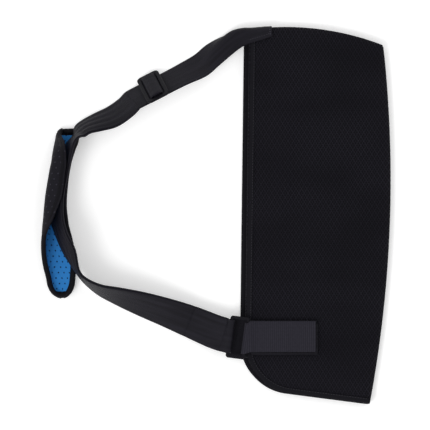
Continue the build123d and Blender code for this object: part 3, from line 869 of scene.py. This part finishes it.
def folded_section(x, y, z, heading, slope, flat, radius, turn):
    """Webbing across its width: a flat front part, then a turn over the edge."""
    heading = math.radians(heading)
    outward = np.array((-math.sin(heading), math.cos(heading), 0.0))
    fine = np.linspace(0, WEB_W, 400)
    bend = np.clip((fine - flat) / radius, 0, math.radians(turn))
    angle = math.radians(slope) + bend
    steps = np.gradient(fine)[:, None] * (
        outward * np.cos(angle)[:, None] - UP * np.sin(angle)[:, None]
    )
    line = np.array((x, y, z)) + np.cumsum(steps, axis=0) - steps[0]
    return at_length(line, WEB_W / 2 - ACROSS)


def elbow_grid():
    """The whole stretch from the sewn end to the slider and a little past it."""
    rows = [folded_section(*station) for station in ELBOW_FOLD]
    for station in range(ELBOW_JOINS, SHOULDER_START + 1):
        row = station * STEPS
        middle, across = STRAP_MIDDLE[row], STRAP_ACROSS[row]
        rows.append(middle + across * ACROSS[:, None])
    points = smooth_grid(rows, STEPS)
    for row in points:
        low, high = row[:, 2].min(), row[:, 2].max()
        if low < ON_FLOOR:
            row[:, 2] = ON_FLOOR + (row[:, 2] - low) * (high - ON_FLOOR) / (high - low)
    return points


def build_strap_elbow():
    """The webbing over the elbow corner and its two rows of stitches."""
    points = elbow_grid()
    made = shell("strap_elbow_webbing", points, WEB_T, "webbing")
    fix(made, "pouch_back", "webbing", *ELBOW_NODES)
    on_top = points + UP * (WEB_T / 2)
    edge, end = on_top[2 : 3 * STEPS, -3], on_top[2, len(ACROSS) // 2 :]
    by_edge = stitch_row("elbow_edge_stitches", edge, ELBOW_PITCH)
    by_end = stitch_row("elbow_end_stitches", end, ELBOW_PITCH, "thread_pale")
    fix(by_edge, "pouch_back", "thread")
    fix(by_end, "pouch_back", "thread", "elbow_stitching")


# ---- slider ----
SLIDER_LIFT = 2.8  # its underside above the middle of the strap
SLIDER_STATION = 5
CENTRE_BAR = 5.0
SLIDER_T = 3.0
LOOP_CORNER = 0.8
ARCH_W = WEB_W + 0.1
SEWN_W = WEB_W - 1.6


def slider_frame_axes():
    """Middle of the underside of the slider, its way along and its face."""
    first, last = SLIDER_STATION * STEPS, (SLIDER_STATION + 1) * STEPS
    a, b = STRAP[SLIDER_STATION], STRAP[SLIDER_STATION + 1]
    along = unit(np.array((b[0] - a[0], b[1] - a[1], 0.0)))
    inward = np.array((-along[1], along[0], 0.0))
    lean = math.radians(a[3])
    across = inward * math.cos(lean) + UP * math.sin(lean)
    face = np.cross(along, across)
    middle = (STRAP_MIDDLE[first] + STRAP_MIDDLE[last]) / 2
    return middle + face * SLIDER_LIFT, along, across, face


def swept_web(name, path, width, node):
    """Webbing on the slider that follows a path drawn on the slider's side."""
    middle, along, across, face = slider_frame_axes()
    path = smooth_rows(path, SLIDER_STEPS)
    line = middle + along * path[:, :1] + face * path[:, 1:]
    over = across_from_middle(width, 15)
    points = line[:, None] + across * over[None, :, None]
    made = shell(name, points, WEB_T, "webbing")
    fix(made, "slider", "webbing", node)


def build_slider():
    """The webbing over and round the slider's centre bar; the frame is CAD's."""
    # Paths on the slider's side: along the strap, and up from its underside.
    arch = [(-12.5, -1.5), (-9.9, -1.2), (-8.8, 0.2), (-8.1, 2.3), (-6.4, 4.4)]
    arch += [(-3.3, 5.8), (0.0, 6.3)]
    arch += [(-a, b) for a, b in arch[-2::-1]]
    swept_web("strap_slider_webbing", arch, ARCH_W, "strap_slider_arch")

    side, top, low = CENTRE_BAR / 2 + 1.0, SLIDER_T + 1.0, -1.0
    flat, up, down = side - LOOP_CORNER, top - LOOP_CORNER, low + LOOP_CORNER
    loop = [(0.0, low), (flat, low), (side, down), (side, up), (flat, top)]
    loop += [(-flat, top), (-side, up), (-side, down), (-flat, low), (0.2, low)]
    swept_web("strap_sewn_end", loop, SEWN_W, "strap_end_wrap")


# ---- end buckle ----
PIVOT = np.array((36.6, -146.0, 19.1))  # middle of the near bar
BAR_SPACING = 19.6
BAR_R = 2.57
TURN = math.radians(-7.5)
BUCKLE_X = np.array((math.cos(TURN), math.sin(TURN), 0.0))
BAR_AXIS = np.array((-math.sin(TURN), math.cos(TURN), 0.0))
FRONT_FOLLOWS = BUCKLE_START + 6  # the strap's hand end is made as a second piece from here
LAST_ROW = slice(-1, None)
UNDER = {"lift": -(WEB_T + PLY_GAP), "shift": PLY_SHIFT}


def build_buckle_wrap():
    """The turn of the strap round the buckle's far bar, top ply to under ply."""
    far_bar = PIVOT - BUCKLE_X * BAR_SPACING
    r = BAR_R + WEB_T / 2
    steps = [(-3.0, r * 0.92), (0.0, r), (r * 0.72, r * 0.72), (r, 0.0)]
    steps += [(a, -b) for a, b in steps[2::-1]]
    rows = [strap_grid(LAST_ROW)[0]]
    for a, b in steps:
        centre = far_bar + BUCKLE_X * a + UP * b
        rows.append(centre + BAR_AXIS * ACROSS[:, None])
    rows.append(strap_grid(LAST_ROW, **UNDER)[0])
    points = smooth_grid(rows, FOLD_STEPS)
    made = shell("strap_buckle_turn", points, WEB_T, "webbing")
    fix(made, "buckle", "webbing", "strap_buckle_wrap")


def build_strap():
    """The doubled strap from the slider, through the pad, to the end buckle."""
    last = len(STRAP) - 1
    plies = (("top_ply", "run", {}), ("under_ply", "under", UNDER))
    stretches = (("shoulder", SHOULDER_START, NECK_START), ("neck", NECK_START, BUCKLE_START))
    for stretch, first, end in stretches:
        for ply, node, place in plies:
            name, node = f"strap_{stretch}_{ply}", f"strap_{stretch}_{node}"
            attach(strap_piece(name, first, end, node, **place), "pouch_back")
    for ply, node, place in plies:
        name, node = f"strap_hand_{ply}", f"strap_buckle_{node}"
        made = strap_piece(name, BUCKLE_START, FRONT_FOLLOWS, node, **place)
        start, end = (-0.145, -0.1, 0), (-0.035, -0.1, 0)
        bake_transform(made)
        made = strap_piece(name + "_end", FRONT_FOLLOWS, last, node, **place)
        start, end = (-0.028, -0.13, 0), (0.008, -0.13, 0)
        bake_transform(made)


# ---- tab ----
TAB_W = 36.0
TAB_T = 1.2
TAB_END = 119.0
TAB_Y = -143.6
TAB_MIDDLE_X = 75.0
TAB_BASE_START, TAB_BASE_END = 43.2, 121.5
TAB_BASE_Y = -147.0
PATCH_T = 1.1  # each of the hook and loop patches
ON_FRONT = FRONT_TOP + BIND_T + 0.3
FLAP_Z = ON_FRONT + TAB_T + 2 * PATCH_T + 0.1 + TAB_T / 2
# The flap from where it leaves the bar to its end: x and height.
FLAP_LINE = [(42.0, 22.1), (47.0, 20.3), (53.0, FLAP_Z + 0.1), (64.0, FLAP_Z)]
FLAP_LINE += [(TAB_END - 8, FLAP_Z), (TAB_END, FLAP_Z)]


def build_tab():
    """The flap folded round the buckle's near bar, and the base under it."""
    over = across_from_middle(TAB_W, 13)
    r = BAR_R + TAB_T / 2
    rows = []
    for angle in (-80, -120, -150, 180, 150, 120, 90):
        turn = math.radians(angle)
        centre = PIVOT + BUCKLE_X * r * math.cos(turn) + UP * r * math.sin(turn)
        rows.append(centre + BAR_AXIS * over[:, None])
    for x, z in FLAP_LINE:
        rows.append(np.array((x, TAB_Y, z)) + np.array((0.0, 1.0, 0.0)) * over[:, None])
    points = smooth_grid(rows, FOLD_STEPS)
    x = points[..., 0]  # the free part of the flap lies in a slight wave
    points[..., 2] += 0.12 * np.sin(x * 0.17) * np.clip((x - 50) / 20, 0, 1)
    flap = shell("tab_flap_tape", points, TAB_T, "tab_tape")
    fix(flap, "tab", "tab_tape", "tab_flap")

    along = np.linspace(TAB_BASE_START, TAB_BASE_END, 40)
    points = np.zeros((len(along), len(over), 3))
    points[..., 0] = along[:, None]
    points[..., 1] = TAB_BASE_Y + over[None]
    points[..., 2] = ON_FRONT + TAB_T / 2
    base = shell("tab_base_tape", points, TAB_T, "tab_base")
    with_front(base, "tab_tape", "tab_base")


# ---- neck pad ----
KNIT_T = 2.8
BLUE_T = 1.3
PAD_T = KNIT_T + BLUE_T
PAD_LOW = PAD_T / 2 + 0.6
# One cushion folded round the strap. For each y: the inner rim x and height,
# the two ends of the flat base, the outer wall's shoulder x and height, and the
# outer rim x and height.
PAD_STATIONS = [
    (101.6, -165.5, 3.4, -168.0, -180.0, -181.0, 3.0, -181.6, 4.0),
    (96.0, -162.8, 4.6, -168.5, -184.0, -185.6, 7.0, -183.6, 12.0),
    (90.5, -162.3, 7.0, -170.0, -185.2, -186.6, 14.0, -180.4, 20.5),
    (86.0, -163.2, 12.0, -172.0, -186.3, -187.2, 20.0, -178.2, 28.5),
    (77.0, -166.6, 23.0, -176.5, -188.8, -188.6, 29.0, -176.4, 40.0),
    (64.0, -170.6, 31.5, -182.0, -192.0, -190.5, 34.0, -175.6, 44.2),
    (50.0, -173.4, 35.0, -186.5, -195.3, -193.0, 35.0, -177.2, 44.2),
    (25.0, -176.0, 35.5, -190.0, -199.2, -197.2, 34.0, -180.4, 44.0),
    (8.0, -176.5, 34.0, -190.5, -200.6, -199.2, 33.0, -186.4, 42.5),
    (-10.0, -174.6, 31.0, -189.0, -201.0, -201.2, 30.0, -194.4, 39.0),
    (-18.0, -172.7, 28.0, -187.5, -200.5, -202.0, 27.0, -198.8, 34.5),
    (-28.0, -170.0, 25.0, -185.0, -199.0, -202.6, 21.0, -202.2, 28.0),
    (-44.0, -166.8, 20.0, -182.0, -196.0, -201.8, 15.0, -203.0, 22.0),
    (-60.0, -165.6, 15.0, -180.5, -193.5, -199.4, 11.0, -201.6, 17.0),
    (-76.0, -166.6, 11.5, -179.5, -190.5, -195.4, 8.0, -198.0, 13.0),
]
PAD_END_Y = -97.2
PAD_END_HEIGHT = 5.5
PAD_END_X = -181.0
ROUND_ANGLES = (16, 32, 48, 62, 74, 84)
PAD_STEPS = 6
PAD_COLUMNS = 41
PAD_MIDDLE = PAD_COLUMNS // 2
FOOT_RISE = 0.14  # how much of a wall's height its foot already has
LINING = (slice(8, -2), slice(3, -4))  # its rows and columns end under the tape
TAPE_POINTS = 260
TAPE_PASSES = 5  # of smoothing, so that the tape rounds the cushion's corners
# The tape's section: in from the rim, and up.
TAPE_PROFILE = [(5.4, -2.3), (3.8, -2.85), (1.4, -2.75), (-0.3, -1.8), (-0.85, 0.0)]
TAPE_PROFILE += [(a, -b) for a, b in TAPE_PROFILE[3::-1]]


def pad_section(rim_x, rim_z, foot, fold, shoulder_x, shoulder_z, tip_x, tip_z):
    """Middle line of the cushion across one station, inner rim first."""
    lift = PAD_LOW + FOOT_RISE * (rim_z - PAD_LOW)
    rise = PAD_LOW + FOOT_RISE * (shoulder_z - PAD_LOW)
    line = [
        (rim_x, rim_z),
        (rim_x + 0.42 * (foot - rim_x), PAD_LOW + 0.52 * (rim_z - PAD_LOW)),
        (foot + 0.08 * (rim_x - foot), lift),
        (foot + 0.3 * (fold - foot), PAD_LOW),
        (foot + 0.7 * (fold - foot), PAD_LOW),
        (fold + 0.45 * (shoulder_x - fold) - 0.4, rise),
        (shoulder_x - 0.5, PAD_LOW + 0.55 * (shoulder_z - PAD_LOW)),
        (shoulder_x, shoulder_z),
        (shoulder_x + 0.45 * (tip_x - shoulder_x), shoulder_z + 0.68 * (tip_z - shoulder_z)),
        (tip_x, tip_z),
    ]
    line = smooth_rows(line, 5)
    return at_length(line, np.linspace(0, lengths(line)[-1], PAD_COLUMNS))


def pad_grid():
    """The whole cushion's middle surface, elbow end first."""
    rows = []
    for row in smooth_rows(PAD_STATIONS, PAD_STEPS):
        rows.append(np.insert(pad_section(*row[1:]), 1, row[0], axis=1))
    last = rows[-1]
    start_y = last[0, 1]
    for degrees in ROUND_ANGLES:
        turn = math.radians(degrees)
        width, away = math.cos(turn), math.sin(turn)
        ring = last.copy()
        ring[:, 0] = PAD_END_X + (last[:, 0] - PAD_END_X) * width
        ring[:, 1] = start_y + (PAD_END_Y - start_y) * away
        sunk = (1 - width) ** 1.5
        ring[:, 2] = last[:, 2] + (PAD_END_HEIGHT - last[:, 2]) * sunk
        rows.append(ring)
    points = np.array(rows)
    # Two faint creases across the standing walls.
    x, y, z = np.moveaxis(points, 2, 0)
    slanting = np.exp(-(((y - 58 + 0.4 * (x + 180)) / 5.0) ** 2))
    level = np.exp(-(((y + 4) / 7.0) ** 2))
    points[..., 0] += 0.5 * (slanting + level) * np.clip((z - 20) / 20, 0, 1)
    return points


def follow_pad(piece, slot, *nodes):
    """Bakes the place of a pad piece into its mesh and hides the CAD nodes it stands for; its
    folding wall, which turns with pad_flap, is not split from the rest.
    """
    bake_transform(piece)
    dress(piece, slot, *nodes)


def build_cushion(points):
    """The pad's two layers: black knit outside and blue lining inside."""
    normals = grid_normals(points)
    if normals[len(points) // 2, PAD_MIDDLE, 2] < 0:
        normals = -normals
    run = np.array([lengths(row) for row in points])
    place = np.stack((-points[..., 1], run - run[:, PAD_MIDDLE, None]), axis=-1)
    outer = shell("pad_knit", points - normals * BLUE_T / 2, KNIT_T, "pad_outer", place)
    follow_pad(outer, "pad_outer", "pad_shell", "pad_flap_shell")
    inside = points[LINING] + normals[LINING] * KNIT_T / 2
    blue = shell("pad_blue_lining", inside, BLUE_T, "pad_blue", place[LINING])
    follow_pad(blue, "pad_blue", "pad_lining", "pad_flap_lining")


def round_pad(points, top, end, left, right):
    """A closed line round the pad, each part in from the rim by a few rows."""
    return np.concatenate(
        (
            points[top, PAD_MIDDLE:-1],
            points[:-1, right],
            points[end, ::-1],
            points[-2:0:-1, left],
            points[top, : PAD_MIDDLE + 1],
        )
    )


def build_pad_tape(points):
    """One tape folded over the whole rim of the cushion."""
    edge = round_pad(points, 0, -1, 0, -1)
    within = round_pad(points, 3, -5, 5, -6)
    run = lengths(edge)
    wanted = np.linspace(0, run[-1], TAPE_POINTS)
    edge, within = (at_length(line, wanted, run) for line in (edge, within))
    for line in (edge, within):
        for _ in range(TAPE_PASSES):
            line[1:-1] = (line[:-2] + 2 * line[1:-1] + line[2:]) / 4
    ahead = unit(np.gradient(edge, axis=0))
    ahead[0] = ahead[-1] = unit(ahead[0] + ahead[-1])
    inward = within - edge
    inward -= ahead * (inward * ahead).sum(axis=1, keepdims=True)
    inward = unit(inward)
    upward = unit(np.cross(ahead, inward))
    rings = np.array(
        [
            [spot + side * a + up * b for a, b in TAPE_PROFILE]
            for spot, side, up in zip(edge, inward, upward)
        ]
    )
    rings[..., 2] = np.maximum(rings[..., 2], 0.05)  # clear of the floor
    tape = tube("pad_edge_tape", rings, "pad_tape")
    follow_pad(tape, "pad_tape", "pad_binding", "pad_flap_binding")


# ---- backing ----
TONGUE_W, TONGUE_LONG, TONGUE_T = 44.0, 38.0, 1.0
TONGUE_START = -BAR_SPACING - 3.0  # along the buckle, from its pivot
TONGUE_CORNER = 4.0


def build_backing():
    """The tongue of brushed cloth behind the end buckle."""
    along = np.linspace(TONGUE_START, TONGUE_START + TONGUE_LONG, 24)
    over = across_from_middle(TONGUE_W, 24)
    corner = np.clip(np.abs(over) - (TONGUE_W / 2 - TONGUE_CORNER), 0, TONGUE_CORNER)
    rounding = TONGUE_CORNER - np.sqrt(TONGUE_CORNER ** 2 - corner ** 2)
    into = np.linspace(-1, 1, len(along))
    pulled = along[:, None] - (into * np.abs(into))[:, None] * rounding
    points = PIVOT + BUCKLE_X * pulled[..., None] + BAR_AXIS * over[:, None]
    points[..., 2] = FRONT_Z - BIND_T - 0.6
    tongue = shell("buckle_backing_tongue", points, TONGUE_T, "backing")
    with_front(tongue, "backing", "buckle_backing")


# ---- CAD pieces ----
def dress_frame():
    """Materials for the CAD parts that stay in view."""
    kept = {
        "slider_frame": "buckle_plastic",
        "end_buckle": "buckle_plastic",
        "tab_hook_patch": "hook",
        "tab_loop_patch": "loop",
    }
    for node, material in kept.items():
        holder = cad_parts[node]
        for slot in holder.material_slots:
            slot.material = MATERIALS[material]


build_stage()
build_pouch()
build_strap_elbow()
build_strap()
build_slider()
build_buckle_wrap()
build_tab()
build_backing()
PAD = pad_grid()
build_cushion(PAD)
build_pad_tape(PAD)
dress_frame()
